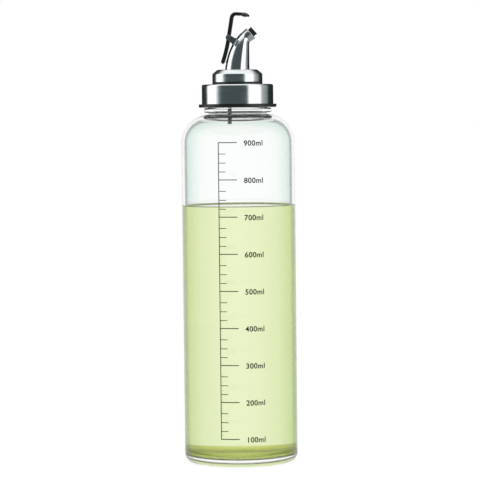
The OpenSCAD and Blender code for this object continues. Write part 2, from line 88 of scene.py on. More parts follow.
# collar and dome
SHELL_T, SHELL_TOP_T, SHELL_EDGE, SHELL_HOLE = 0.5, 0.6, 1.3, 15.3
DOME_T, DOME_DROP, DOME_RUN, DOME_HOLE = 0.6, 3.0, 3.5, 7.45

# spout, mouth and hinge, as in the CAD
DOME_Z = DOME[1][2]
FOOT_R, MOUTH_R, SPOUT_T = 8.15, 4.35, 0.6
REACH, RISE, BEND_H = 9.3, 24.05, 18.1
BACK_LEAN, BACK_PULL, MOUTH_PULL = math.radians(7.4), 19.5, 3.0
MOUTH_TILT = math.radians(41.8)
AXIS_D = Vector((math.cos(MOUTH_TILT), math.sin(MOUTH_TILT)))
AXIS_N = Vector((-math.sin(MOUTH_TILT), math.cos(MOUTH_TILT)))
MOUTH = Vector((REACH, DOME_Z + RISE))
RING_T, RING_BORE_R = 1.0, 3.0
TIP_OUT, TIP_R, TIP_BORE_R, TIP_PLUG = 2.87, 3.2, 2.2, 2.6
VENT_X, VENT_R, VENT_BORE_R, VENT_BEND, VENT_RISE = -5.4, 1.4, 0.85, 1.9, 4.6
AIR_HOLE_R, AIR_HOLE_SINK = 1.42, 0.15
BACK_FOOT = Vector((-FOOT_R, DOME_Z))
BACK_END = MOUTH + MOUTH_R * AXIS_N - RING_T * AXIS_D
BACK = [BACK_FOOT, BACK_FOOT + BACK_PULL * Vector((math.sin(BACK_LEAN), math.cos(BACK_LEAN))),
        BACK_END - MOUTH_PULL * AXIS_D, BACK_END]
CORNER = Vector((FOOT_R, DOME_Z + BEND_H))
CORNER_CUT, RAIL_A, RAIL_B = 1.3, 0.74, 0.86
FRONT_END = MOUTH - MOUTH_R * AXIS_N - RING_T * AXIS_D
FRONT_1 = CORNER - Vector((0, CORNER_CUT))
FRONT_2 = CORNER + CORNER_CUT * (FRONT_END - CORNER).normalized()
HINGE_U, HINGE_OFF, OPEN_TURN = 0.4617, 4.44, math.radians(-38)
PIN_R, PIN_HEAD, PIN_HEAD_T = 0.7, 0.4, 0.35
EAR_R, EAR_T, EAR_EDGE, SLOT_W = 2.0, 0.6, 0.12, 5.3
EAR_SINK, EAR_UP, EAR_DOWN, EAR_FROM, EAR_TO = 0.5, 2.0, 2.1, -62, 74
SADDLE_T, SADDLE_SINK, SADDLE_FROM, SADDLE_TO, SADDLE_HALF = 0.7, 0.05, 10 / 26, 14 / 26, 10
CAP_R, CAP_H, CAP_EDGE, CAP_ROUND, CAP_TOP_R = 3.5, 2.45, 1.0, 0.3, 3.42
PAD_R, PAD_T, PAD_PROUD, SEAT_RELIEF = 2.9, 0.5, 0.12, 0.2
BUTTON_R, BUTTON_H = 1.3, 0.35
ELBOW, ELBOW_R, TOP_IN = Vector((-8.12, 0.34)), 2.9, Vector((-1.75, 1.1))
LEVER_W, ARM_T, TOP_T, LEVER_ROUND, HUB_WALL, PIN_PLAY = 5.0, 2.75, 2.2, 0.7, 1.25, 0.05
TAIL_T, TAIL_LEN, TAIL_LEAN, TAIL_END_LEAN, KNEE_SHARE, TAIL_STEPS = 2.7, 18.0, 9, 13.9, 0.45, 12
TAIL_CURVE = (22, 42, 60, 74, 84)           # degrees round the tail's end at its last rings


# ---------------------------------------------------------------- curves in side view
def mix(a, b, t):
    return a + (b - a) * t


def quad(a, b, c, t):
    return mix(mix(a, b, t), mix(b, c, t), t)


def rail_back(u):
    a, b, c, d = BACK
    return mix(quad(a, b, c, u), quad(b, c, d, u), u)


def rail_front(u):
    if u <= RAIL_A:
        return mix(Vector((FOOT_R, DOME_Z)), FRONT_1, u / RAIL_A)
    if u >= RAIL_B:
        return mix(FRONT_2, FRONT_END, (u - RAIL_B) / (1 - RAIL_B))
    return quad(FRONT_1, CORNER, FRONT_2, (u - RAIL_A) / (RAIL_B - RAIL_A))


HINGE_FOOT = rail_back(HINGE_U)
HINGE_UP = (rail_back(HINGE_U + 0.01) - rail_back(HINGE_U - 0.01)).normalized()
HINGE_OUT = Vector((-HINGE_UP.y, HINGE_UP.x))
PIVOT = HINGE_FOOT + HINGE_OFF * HINGE_OUT
CAP_SEAT = MOUTH + (TIP_OUT + 0.05) * AXIS_D


def fillet(path, closed=False):
    """Points of a path given as (x, z, radius), with an arc of that radius at each corner."""
    out, n = [], len(path)
    for i, (x, z, radius) in enumerate(path):
        p = Vector((x, z))
        if radius <= 0 or (not closed and i in (0, n - 1)):
            out.append(p)
            continue
        a = (Vector(path[i - 1][:2]) - p).normalized()
        b = (Vector(path[(i + 1) % n][:2]) - p).normalized()
        half = a.angle(b) / 2
        cut = radius / math.tan(half)
        centre = p + (a + b).normalized() * (radius / math.sin(half))
        start, stop = p + a * cut - centre, p + b * cut - centre
        from_angle = math.atan2(start.y, start.x)
        turn = (math.atan2(stop.y, stop.x) - from_angle + math.pi) % TAU - math.pi
        steps = max(2, round(abs(math.degrees(turn)) / ARC_STEP))
        for k in range(steps + 1):
            angle = from_angle + turn * k / steps
            out.append(centre + radius * Vector((math.cos(angle), math.sin(angle))))
    return out


def arc(cx, cz, radius, start, stop, steps):
    """Points on an arc about (cx, cz) from start to stop degrees."""
    angles = [math.radians(start + (stop - start) * k / steps) for k in range(steps + 1)]
    return [Vector((cx + radius * math.cos(a), cz + radius * math.sin(a))) for a in angles]


def frame_at(point, tilt):
    """Matrix in millimetres whose +Z leans by tilt from up towards +X, at a side-view point."""
    return Matrix.Translation((point.x, 0, point.y)) @ Matrix.Rotation(tilt, 4, "Y")


AT_MOUTH = frame_at(MOUTH, math.pi / 2 - MOUTH_TILT)
AT_PIVOT = Matrix.Translation((PIVOT.x, 0, PIVOT.y))
OPENED = AT_PIVOT @ Matrix.Rotation(OPEN_TURN, 4, "Y") @ AT_PIVOT.inverted()
AT_SEAT = OPENED @ frame_at(CAP_SEAT, math.pi / 2 - MOUTH_TILT)
ALONG_Y = Matrix.Rotation(math.pi / 2, 4, "X")


# ---------------------------------------------------------------- meshes
def make(name, rings, loop=True, place=None, ends="fan"):
    """An object skinned over rings of points in millimetres. loop joins the last ring to the first;
    otherwise both ends are closed with a fan, or with strips between the two halves of the ring."""
    n, m = len(rings[0]), len(rings)
    verts = [Vector(p) for ring in rings for p in ring]
    faces = [(i * n + k, i * n + (k + 1) % n, (i + 1) % m * n + (k + 1) % n, (i + 1) % m * n + k)
             for i in range(m if loop else m - 1) for k in range(n)]
    if not loop and ends == "strips":
        faces += [(start + k, start + k + 1, start + n - 2 - k, start + n - 1 - k)
                  for start in (0, (m - 1) * n) for k in range(n // 2 - 1)]
    elif not loop:
        for ring, start in ((rings[0], 0), (rings[-1], (m - 1) * n)):
            verts.append(sum((Vector(p) for p in ring), Vector()) / n)
            faces += [(len(verts) - 1, start + k, start + (k + 1) % n) for k in range(n)]
    if place:
        verts = [place @ v for v in verts]
    mesh = bpy.data.meshes.new(name)
    mesh.from_pydata([v * MM for v in verts], [], faces)
    bm = bmesh.new()
    bm.from_mesh(mesh)
    bmesh.ops.remove_doubles(bm, verts=bm.verts, dist=1e-6)
    bmesh.ops.recalc_face_normals(bm, faces=bm.faces)
    bm.to_mesh(mesh)
    bm.free()
    obj = bpy.data.objects.new(name, mesh)
    bpy.context.scene.collection.objects.link(obj)
    return obj


def lathe(name, path, loop=True, segs=SEGS, place=None, radius=None):
    """Turns side-view points (r, z) about the Z axis. radius(r, z, angle) may change a radius."""
    rings = []
    for p in path:
        ring = []
        for k in range(segs):
            a = TAU * k / segs
            r = radius(p.x, p.y, a) if radius else p.x
            ring.append((r * math.cos(a), r * math.sin(a), p.y))
        rings.append(ring)
    return make(name, rings, loop, place)


def sweep_rings(path, section):
    """Rings along a side-view path. section(i) gives the (out, y) points of ring i."""
    rings, last = [], len(path) - 1
    for i, p in enumerate(path):
        t = (path[min(i + 1, last)] - path[max(i - 1, 0)]).normalized()
        rings.append([(p.x - t.y * a, y, p.y + t.x * a) for a, y in section(i)])
    return rings


def rounded_box(thick, wide, radius, steps=4):
    """Outline of a rounded rectangle, thick by wide."""
    radius = min(radius, thick / 2 * 0.98, wide / 2 * 0.98)
    out = []
    for sa, sy, start in ((1, 1, 0), (-1, 1, 90), (-1, -1, 180), (1, -1, 270)):
        ca, cy = sa * (thick / 2 - radius), sy * (wide / 2 - radius)
        out += [(p.x, p.y) for p in arc(ca, cy, radius, start, start + 90, steps)]
    return out


def plate(name, outline, y0, y1):
    """A flat plate between y0 and y1 with a side-view outline."""
    return make(name, [[(p.x, y, p.y) for p in outline] for y in (y0, y1)], loop=False)


def applied(obj):
    """Replaces the object's mesh by the result of its modifiers."""
    graph = bpy.context.evaluated_depsgraph_get()
    mesh = bpy.data.meshes.new_from_object(obj.evaluated_get(graph))
    obj.modifiers.clear()
    obj.data = mesh
    return obj


def combine(base, tool, how):
    """UNION or DIFFERENCE of base and tool; the tool is removed."""
    cut = base.modifiers.new("cut", "BOOLEAN")
    cut.object, cut.operation, cut.solver = tool, how, "EXACT"
    bpy.context.view_layer.update()
    applied(base)
    bpy.data.objects.remove(tool)
    return base


def bevel(obj, width, segments=2, angle=35):
    soft = obj.modifiers.new("edge", "BEVEL")
    soft.width, soft.segments = width * MM, segments
    soft.limit_method, soft.angle_limit = "ANGLE", math.radians(angle)
    soft.harden_normals = False
    bpy.context.view_layer.update()
    return applied(obj)


def dress(obj, material, body, nodes=(), crease=CREASE):
    """Gives a piece its materials, shading, body and the CAD nodes it stands for."""
    materials = material if isinstance(material, list) else [material]
    obj.data.materials.clear()
    for m in materials:
        obj.data.materials.append(m)
    obj.data.polygons.foreach_set("use_smooth", [True] * len(obj.data.polygons))
    obj.data.set_sharp_from_angle(angle=crease)
    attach(obj, body)
    if nodes:
        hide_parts(*nodes)
    return obj


# ---------------------------------------------------------------- node helpers
class Tree:
    """A short way to write a node tree."""

    def __init__(self, owner):
        owner.use_nodes = True
        self.tree = owner.node_tree
        self.nodes, self.links = self.tree.nodes, self.tree.links

    def add(self, kind, *inputs, **settings):
        """Adds a node. Inputs are values, or output sockets to link, in the order of its sockets;
        a dict in their place names sockets. None leaves a socket as it is."""
        node = self.nodes.new("ShaderNode" + kind)
        for key, value in settings.items():
            setattr(node, key, value)
        given = inputs[0].items() if inputs and isinstance(inputs[0], dict) else enumerate(inputs)
        for key, value in given:
            self.plug(node.inputs[key], value)
        return node

    def plug(self, socket, value):
        if value is None:
            return
        if isinstance(value, bpy.types.NodeSocket):
            self.links.new(value, socket)
        else:
            socket.default_value = value

    def math(self, how, *inputs):
        return self.add("Math", *inputs, operation=how).outputs[0]

    def ramp(self, value, stops, interpolation="LINEAR"):
        """A colour ramp from [(position, grey or rgb), ...]."""
        node = self.add("ValToRGB", value)
        node.color_ramp.interpolation = interpolation
        points = node.color_ramp.elements
        while len(points) < len(stops):
            points.new(1.0)
        for point, (position, colour) in zip(points, stops):
            rgb = (colour,) * 3 if isinstance(colour, (int, float)) else colour
            point.position, point.color = position, (*rgb, 1)
        return node.outputs[0]

    def blend(self, factor, a, b, how="MIX"):
        node = self.add("Mix", data_type="RGBA", blend_type=how)
        self.plug(node.inputs[0], factor)
        self.plug(node.inputs[6], a)
        self.plug(node.inputs[7], b)
        return node.outputs[2]


def new_material(name, **sockets):
    """A Principled material; sockets are set by name, with _ for a space."""
    material = bpy.data.materials.new(name)
    tree = Tree(material)
    shader = tree.nodes["Principled BSDF"]
    for key, value in sockets.items():
        shader.inputs[key.replace("_", " ")].default_value = value
    return material, tree, shader


def streaks(tree, along, across, detail=2.0):
    """Noise drawn out round the Z axis: along and across are its lengths in millimetres."""
    place = tree.add("TexCoord").outputs["Object"]
    xyz = tree.add("SeparateXYZ", place).outputs
    flat = tree.add("CombineXYZ", xyz[0], xyz[1], 0.0).outputs[0]
    radius = tree.add("VectorMath", flat, operation="LENGTH").outputs["Value"]
    height = tree.math("SUBTRACT", xyz[2], radius)
    stretched = tree.add("CombineXYZ", tree.math("MULTIPLY", xyz[0], 1 / (along * MM)),
                         tree.math("MULTIPLY", xyz[1], 1 / (along * MM)),
                         tree.math("MULTIPLY", height, 1 / (across * MM))).outputs[0]
    return tree.add("TexNoise", {"Vector": stretched, "Scale": 1.0, "Detail": detail}).outputs[0]


def grain(tree, size, detail=2.0):
    """Even noise with cells of the given size in millimetres."""
    place = tree.add("TexCoord").outputs["Object"]
    return tree.add("TexNoise", {"Vector": place, "Scale": 1 / (size * MM), "Detail": detail}).outputs[0]


def bump(tree, shader, height, distance, strength=1.0):
    """Bump of the given height in millimetres."""
    node = tree.add("Bump", {"Strength": strength, "Distance": distance * MM, "Height": height})
    tree.links.new(node.outputs[0], shader.inputs["Normal"])


def rough(tree, shader, value, low, high):
    """Roughness between low and high, by a noise value."""
    node = tree.add("MapRange", {"Value": value, "From Min": 0.3, "From Max": 0.7,
                                 "To Min": low, "To Max": high})
    tree.links.new(node.outputs[0], shader.inputs["Roughness"])


# ---------------------------------------------------------------- materials
GLASS_IOR = 1.47
# painted shade: the dark green of the line drawn where the glass wall is seen edge on
PAINTED_EDGE_SHADE = (0.03, 0.05, 0.045, 1)
# How the oil's skin is tinted, by how grazing the view is: the oil's own colour deepens towards the sides,
# and the dark band near 0.26 is painted shade at the sides. A level view through the glass stays below about
# 0.30; only steeper ones meet the last two stops.
OIL_TINT_EDGE_SHADE = [(0.0, (0.95, 0.99, 0.95)), (0.058, (0.87, 0.92, 0.78)), (0.125, (0.81, 0.87, 0.67)),
            (0.188, (0.63, 0.75, 0.43)), (0.227, (0.56, 0.70, 0.29)), (0.25, (0.32, 0.44, 0.14)),
            (0.262, (0.18, 0.26, 0.07)), (0.30, (0.25, 0.35, 0.12)), (0.36, (0.80, 0.90, 0.50)),
            (1.0, (0.88, 0.95, 0.60))]


def glass_material(name, stops, edge=None):
    """Clear glass with a faint green tint; stops tint it by how grazing the view is. edge gives the share of
    a dark green line of painted shade where the wall is seen edge on; its green is the glass's own tint."""
    material, tree, shader = new_material(name, Roughness=0.0, IOR=GLASS_IOR, Transmission_Weight=1.0)
    facing = tree.add("LayerWeight", {"Blend": 0.5}).outputs["Facing"]
    tree.links.new(tree.ramp(facing, stops), shader.inputs["Base Color"])
    bump(tree, shader, grain(tree, 28, 1.0), 0.06)
    if edge:
        # a dark diffuse shader mixed in by facing: painted shade along the wall's edge
        dark = tree.add("BsdfDiffuse", PAINTED_EDGE_SHADE)
        line = tree.add("MixShader", tree.ramp(facing, edge), shader.outputs[0], dark.outputs[0])
        tree.links.new(line.outputs[0], tree.nodes["Material Output"].inputs["Surface"])
    return material


def oil_material():
    """Clear oil that absorbs blue; its skin darkens towards the sides of the bottle, partly by the oil's own
    colour and partly by painted shade.
    """
    material, tree, shader = new_material("oil", Roughness=0.0, IOR=GLASS_IOR, Transmission_Weight=1.0)
    facing = tree.add("LayerWeight", {"Blend": 0.5}).outputs["Facing"]
    tree.links.new(tree.ramp(facing, OIL_TINT_EDGE_SHADE), shader.inputs["Base Color"])
    volume = tree.add("VolumeAbsorption", {"Color": (0.86, 0.90, 0.25, 1), "Density": 9.0})
    tree.links.new(volume.outputs[0], tree.nodes["Material Output"].inputs["Volume"])
    return material


def surface_material():
    """The free surface of the oil, which gathers the oil's colour."""
    material, tree, shader = new_material("oil_surface", Roughness=0.03, IOR=GLASS_IOR)
    cloud = grain(tree, 12, 1.0)
    colour = tree.ramp(cloud, [(0.3, (0.64, 0.74, 0.30)), (0.7, (0.72, 0.80, 0.36))])
    tree.links.new(colour, shader.inputs["Base Color"])
    bump(tree, shader, cloud, 0.02)
    return material


def ink_material():
    material, tree, shader = new_material("print_ink", Roughness=0.45)
    speckle = grain(tree, 0.25)
    tree.links.new(tree.ramp(speckle, [(0.3, (0.006, 0.007, 0.008)), (0.75, (0.018, 0.02, 0.022))]),
                   shader.inputs["Base Color"])
    bump(tree, shader, speckle, 0.01)
    return material


def brushed_material(name, light, dark, low, high, along=9.0, across=0.16, depth=0.004):
    """Steel brushed round the Z axis."""
    material, tree, shader = new_material(name, Metallic=1.0, Anisotropic=0.35)
    fine = streaks(tree, along, across)
    broad = streaks(tree, along * 2.5, across * 5, 1.0)
    both = tree.math("ADD", tree.math("MULTIPLY", fine, 0.55), tree.math("MULTIPLY", broad, 0.45))
    tree.links.new(tree.ramp(both, [(0.35, dark), (0.65, light)]), shader.inputs["Base Color"])
    rough(tree, shader, both, low, high)
    bump(tree, shader, both, depth)
    return material


def polished_material(name, light, dark, low, high, size=0.35, depth=0.0015):
    """Polished steel with faint polishing marks."""
    material, tree, shader = new_material(name, Metallic=1.0)
    marks = streaks(tree, size * 9, size, 3.0)
    cloud = grain(tree, 4.0)
    both = tree.math("ADD", tree.math("MULTIPLY", marks, 0.6), tree.math("MULTIPLY", cloud, 0.4))
    tree.links.new(tree.ramp(both, [(0.35, dark), (0.65, light)]), shader.inputs["Base Color"])
    rough(tree, shader, both, low, high)
    bump(tree, shader, marks, depth)
    return material


def moulded_material(name, light, dark, low, high, size=0.22, depth=0.012):
    """Black moulded plastic or rubber with a fine eggshell surface."""
    material, tree, shader = new_material(name)
    shell = grain(tree, size, 3.0)
    cloud = grain(tree, 5.0)
    tree.links.new(tree.ramp(cloud, [(0.35, dark), (0.7, light)]), shader.inputs["Base Color"])
    rough(tree, shader, shell, low, high)
    bump(tree, shader, shell, depth)
    return material


GLASS_OUT = glass_material("clear_glass_outer", [
    (0.0, (0.975, 0.99, 0.982)), (0.35, (0.97, 0.985, 0.978)),
    (0.6, (0.955, 0.97, 0.963)), (1.0, (0.98, 0.99, 0.985))])
# the inner wall's green deepens at grazing views: the glass's own tint, deepened into painted shade at its
# edge
GLASS_IN = glass_material("clear_glass_inner", [
    (0.0, (0.99, 1.0, 0.995)), (0.29, (0.93, 0.965, 0.95)), (0.48, (0.68, 0.82, 0.72)),
    (0.62, (0.50, 0.67, 0.57)), (0.70, (0.36, 0.52, 0.46)), (1.0, (0.25, 0.40, 0.34))],
    edge=[(0.66, 0.0), (0.76, 0.6), (1.0, 0.75)])
# the heel glass in the oil is tinted dark olive at grazing views: painted shade in the curved corner, with
# the oil's colour
GLASS_HEEL_SHADE = glass_material("heel_painted_shade", [
    (0.0, (0.80, 0.84, 0.20)), (0.2, (0.50, 0.50, 0.04)),
    (0.45, (0.34, 0.32, 0.01)), (1.0, (0.22, 0.20, 0.01))])
OIL, OIL_TOP = oil_material(), surface_material()
INK = ink_material()
BRUSHED = brushed_material("brushed_steel", light=(0.80, 0.82, 0.82), dark=(0.68, 0.71, 0.72),
                           low=0.12, high=0.20, depth=0.002)
DOME_STEEL = brushed_material("dome_steel", light=(0.84, 0.86, 0.86), dark=(0.68, 0.71, 0.72),
                              low=0.14, high=0.24, along=12.0, across=0.3, depth=0.002)
POLISHED = polished_material("polished_steel", light=(0.86, 0.88, 0.89), dark=(0.76, 0.79, 0.80),
                             low=0.10, high=0.18)
GREY_STEEL = polished_material("grey_steel", light=(0.30, 0.34, 0.36), dark=(0.17, 0.20, 0.21),
                               low=0.30, high=0.42, size=0.25, depth=0.006)
PLASTIC = moulded_material("black_plastic", light=(0.022, 0.024, 0.026), dark=(0.012, 0.013, 0.014),
                           low=0.30, high=0.45)
LEVER_BLACK = moulded_material("lever_black", light=(0.026, 0.032, 0.032), dark=(0.012, 0.015, 0.015),
                               low=0.26, high=0.36, size=0.3, depth=0.003)
SILICONE = moulded_material("black_silicone", light=(0.020, 0.021, 0.022), dark=(0.011, 0.012, 0.012),
                            low=0.48, high=0.62, size=0.18, depth=0.015)


# ---------------------------------------------------------------- camera, light and floor
CAMERA_POINT = (0.0006, -1.739, 0.240)
CAMERA_PITCH, CAMERA_ROLL, LENS = math.radians(-3.0), math.radians(-0.62), 194.6


def set_camera():
    data = bpy.data.cameras.new("camera")
    data.lens, data.sensor_width = LENS, 36.0
    data.clip_start, data.clip_end = 0.05, 50
    camera = bpy.data.objects.new("camera", data)
    bpy.context.scene.collection.objects.link(camera)
    camera.location = CAMERA_POINT
    turn = Matrix.Rotation(math.pi / 2 + CAMERA_PITCH, 4, "X") @ Matrix.Rotation(CAMERA_ROLL, 4, "Z")
    camera.rotation_euler = turn.to_euler()
    bpy.context.scene.camera = camera


# How bright the studio is that steel mirrors, by azimuth in degrees from -Y towards +X. What is
# darker than DIM is tinted COOL. PEAK is the brightest value, since a ramp stops at one.
STUDIO = [(-180, 0.03), (-118, 0.03), (-111, 1.5), (-76, 1.5), (-64, 0.30), (-54, 0.095), (32, 0.085),
          (38, 1.5), (80, 1.4), (84, 0.5), (112, 0.28), (117, 0.03), (164, 0.02), (180, 0.03)]
PEAK, DIM, COOL = 1.5, 0.4, (0.80, 1.0, 1.02)
CEILING, CEILING_LOW, CEILING_HIGH = (1.15, 1.17, 1.18, 1), 0.62, 0.80
WHITE = (1, 1, 1, 1)


def studio_stops():
    """The studio table as colour ramp stops, as shares of PEAK."""
    stops = []
    for azimuth, level in STUDIO:
        colour = [level * c for c in COOL] if level < DIM else [level] * 3
        stops.append(((azimuth + 180) / 360, tuple(c / PEAK for c in colour)))
    return stops


def set_world():
    """White to the camera and through or off glass; steel and rough surfaces see the bands."""
    world = bpy.data.worlds.new("studio")
    bpy.context.scene.world = world
    tree = Tree(world)
    tree.nodes.clear()
    way = tree.add("SeparateXYZ", tree.add("TexCoord").outputs["Generated"]).outputs
    azimuth = tree.math("ARCTAN2", way[0], tree.math("MULTIPLY", way[1], -1.0))
    share = tree.math("MULTIPLY_ADD", azimuth, 1 / TAU, 0.5)
    ring = tree.ramp(share, studio_stops())
    ring = tree.add("VectorMath", ring, (PEAK,) * 3, operation="MULTIPLY").outputs[0]
    above = tree.add("MapRange", {"Value": way[2], "From Min": CEILING_LOW, "From Max": CEILING_HIGH})
    lit = tree.blend(above.outputs[0], ring, CEILING)
    seen = tree.add("LightPath").outputs
    direct = tree.math("MAXIMUM", seen["Is Camera Ray"], seen["Is Transmission Ray"])
    clear = tree.math("MAXIMUM", direct, seen["Is Singular Ray"])
    background = tree.add("Background", tree.blend(clear, lit, WHITE), 1.0)
    tree.add("OutputWorld", background.outputs[0])


FLOOR_R, FLOOR_STEPS, FLOOR_LOW, FLOOR_TOP = 1100.0, 96, -10.0, -0.02
FLOOR_GLOW, FLOOR_SEEN, FLOOR_CLEAR = 0.20, 0.72, 0.86      # for any ray, added for the camera, through glass


def set_floor():
    """A plain white table top under the bottle; it reads white and takes a faint contact shadow."""
    angles = [TAU * k / FLOOR_STEPS for k in range(FLOOR_STEPS)]
    ring = [(FLOOR_R * math.cos(a), FLOOR_R * math.sin(a)) for a in angles]
    floor = make("floor", [[(x, y, z) for x, y in ring] for z in (FLOOR_LOW, FLOOR_TOP)], loop=False)
    material = bpy.data.materials.new("white_floor")
    tree = Tree(material)
    tree.nodes.clear()
    seen = tree.add("LightPath").outputs
    clear = tree.math("MAXIMUM", seen["Is Transmission Ray"], seen["Is Singular Ray"])
    level = tree.math("MULTIPLY_ADD", seen["Is Camera Ray"], FLOOR_SEEN, FLOOR_GLOW)
    level = tree.math("MAXIMUM", level, tree.math("MULTIPLY", clear, FLOOR_CLEAR))
    glow = tree.add("Emission", WHITE, level)
    cloud = tree.ramp(grain(tree, 60), [(0.3, 0.16), (0.7, 0.17)])
    both = tree.add("AddShader", glow.outputs[0], tree.add("BsdfDiffuse", cloud).outputs[0])
    tree.add("OutputMaterial", both.outputs[0])
    material.cycles.emission_sampling = "NONE"
    floor.data.materials.append(material)


bpy.context.scene.view_settings.view_transform = "Standard"
set_camera()
set_world()
set_floor()


# ---------------------------------------------------------------- bottle, oil and print
def vectors(pairs):
    return [Vector(p) for p in pairs]


def sphere_cap(top, edge, rise, radii):
    """Points at the given radii on a spherical cap whose middle is at height top and which falls by
    rise at the radius edge."""
    ball = (edge ** 2 + rise ** 2) / (2 * rise)
    return vectors((r, top - ball + math.sqrt(ball ** 2 - r * r)) for r in radii)


def threaded(r, z, angle):
    """Radius of the glass; the outside of the neck carries the screw thread."""
    if abs(r - NECK_R) > 1e-6:
        return r
    out = 0.0
    for k in (-1, 0, 1, 2):
        along = angle / TAU + k
        if 0 <= along <= THREAD_TURNS:
            off = abs(z - THREAD_Z0 - PITCH * along)
            fade = min(1.0, along / THREAD_FADE, (THREAD_TURNS - along) / THREAD_FADE)
            ridge = min(1.0, max(0.0, (THREAD_FOOT - off) / (THREAD_FOOT - THREAD_CREST)))
            out = max(out, fade * ridge * ridge * (3 - 2 * ridge) * THREAD_OUT)
    return r + out


def bottle_outside():
    """Side view of the glass from the hollow under the base up to the rim's inner edge."""
    punt = sphere_cap(PUNT_H, PUNT_R, PUNT_H, (0, 4, 8, 12, 16, 20, PUNT_EDGE))
    foot = fillet([(PUNT_EDGE, 0.1, 0), (PUNT_R, 0, FOOT_ROUND), (BODY_R, 0, HEEL_R), (BODY_R, 60, 0)])[1:-1]
    wall = vectors((BODY_R, z) for z in range(WALL_STEP, int(STRAIGHT_TOP), WALL_STEP))
    neck_foot = STRAIGHT_TOP + math.sqrt(SHOULDER_R ** 2 - (NECK_R - BODY_R + SHOULDER_R) ** 2)
    shoulder = arc(BODY_R - SHOULDER_R, STRAIGHT_TOP, SHOULDER_R, 0, 87, 26)
    bead_r, bead_z1 = NECK_R + BEAD_OUT, BEAD_Z0 + BEAD_H
    bead = fillet([(NECK_R, neck_foot, 0), (NECK_R, BEAD_Z0, 0.3), (bead_r, BEAD_Z0, BEAD_ROUND),
                   (bead_r, bead_z1, BEAD_ROUND), (NECK_R, bead_z1, 0.4), (NECK_R, bead_z1 + 1.2, 0)])
    neck = vectors((NECK_R, ROW_Z0 + ROW_STEP * k) for k in range(THREAD_ROWS))
    rim = fillet([(NECK_R, RIM_Z - 1.2, 0), (NECK_R, RIM_Z, RIM_ROUND), (BORE_R, RIM_Z, RIM_ROUND),
                  (BORE_R, RIM_Z - 3, 0)])[1:]
    return punt + foot + wall + shoulder + bead + neck + rim


def bottle_inside():
    """Side view of the cavity from the throat down to the middle of its floor."""
    shoulder_in = SHOULDER_R - GLASS_T
    top_in = STRAIGHT_TOP + shoulder_in
    throat = fillet([(BORE_R, top_in + 4, 0), (BORE_R, top_in, THROAT_ROUND),
                     (BODY_R - SHOULDER_R - 0.1, top_in, 0)])
    shoulder = arc(BODY_R - SHOULDER_R, STRAIGHT_TOP, shoulder_in, 90, 0, 26)
    levels = sorted([OIL_Z, *range(WALL_STEP, int(STRAIGHT_TOP), WALL_STEP)], reverse=True)
    wall = vectors((INNER_R, z) for z in levels)
    heel = fillet([(INNER_R, 30, 0), (INNER_R, BASE_T, HEEL_R - 1), (0, BASE_T, 0)])[1:-1]
    floor = vectors((r, BASE_T) for r in (24, 16, 8, 0))
    return throat + shoulder + wall + heel + floor


def glass_slot(centre):
    """Which glass a face is: 1 the dry inner wall, with its painted dark edge, 2 the inner heel in the oil,
    painted darker with shade, 0 all the rest.
    """
    r = math.hypot(centre.x, centre.y)
    if centre.z < STRAIGHT_TOP:
        within = r < BODY_R - GLASS_T / 2
    else:
        within = math.hypot(r - BODY_R + SHOULDER_R, centre.z - STRAIGHT_TOP) < SHOULDER_R - GLASS_T / 2
    if not within:
        return 0
    # the heel in the oil takes the glass with painted shade
    if r > INNER_R - HEEL_R and BASE_T - 1 < centre.z < HEEL_TOP:
        return 2
    return int(OIL_Z < centre.z < THROAT_Z)


def add_bottle():
    bottle = lathe("bottle", bottle_outside() + bottle_inside(), loop=False, radius=threaded)
    dress(bottle, [GLASS_OUT, GLASS_IN, GLASS_HEEL_SHADE], "bottle", ["bottle_glass"])
    for face in bottle.data.polygons:
        face.material_index = glass_slot(face.center / MM)


def add_oil():
    """The filling. Its skin lies inside the glass, so that light bends as through one solid."""
    r, foot = INNER_R + WETTING, BASE_T - WETTING
    bottom = vectors((x, foot) for x in (0, 8, 16, 24))
    heel = fillet([(0, foot, 0), (r, foot, HEEL_R - 1 + WETTING), (r, 40, 0)])[1:-1]
    wall = vectors((r, z) for z in range(WALL_STEP, int(OIL_Z), WALL_STEP))
    edge = vectors([(r, OIL_Z + MENISCUS - 0.05)])
    climb = []
    for k in range(MENISCUS_STEPS, -1, -1):
        share = k / MENISCUS_STEPS
        climb.append(Vector((INNER_R - MENISCUS_RUN * (1 - share) ** 2, OIL_Z + MENISCUS * share ** 3)))
    top = vectors((x, OIL_Z) for x in (28, 20, 12, 6, 0))
    oil = lathe("oil", bottom + heel + wall + edge + climb + top, loop=False)
    dress(oil, [OIL, OIL_TOP], "bottle", crease=math.radians(60))
    for face in oil.data.polygons:
        centre = face.center / MM
        near = math.hypot(centre.x, centre.y) < r - WETTING / 2
        face.material_index = int(near and centre.z > OIL_Z - 0.01)


PRINT_R = BODY_R + 0.03
PRINT_T = 0.05
LINE_A, LONG_END, SHORT_END = -13.0, -0.9, -8.4     # sideways places of the line and its marks' ends
HALF_LINE, SHORT_THIN = 0.28, 0.8
MARKS, MARK_STEP, MARK_TOP, MARK_LOW = 9, 24.454, 214.8, 19.17
SHORT_SHARES = (0.305, 0.548, 0.786)                # short marks, as shares of the step below a long one
LABEL_X, LABEL_H, LABEL_DROP = 3.6, 3.6, 0.3
FONT_SCALE, FONT_WEIGHT, FONT_GAP = 1.38, 0.1, 1.08


def round_wall(x, depth=0.0):
    """Puts a point at the arc length x from the front onto the glass."""
    angle = x / BODY_R
    r = PRINT_R + depth
    return r * math.sin(angle), -r * math.cos(angle)


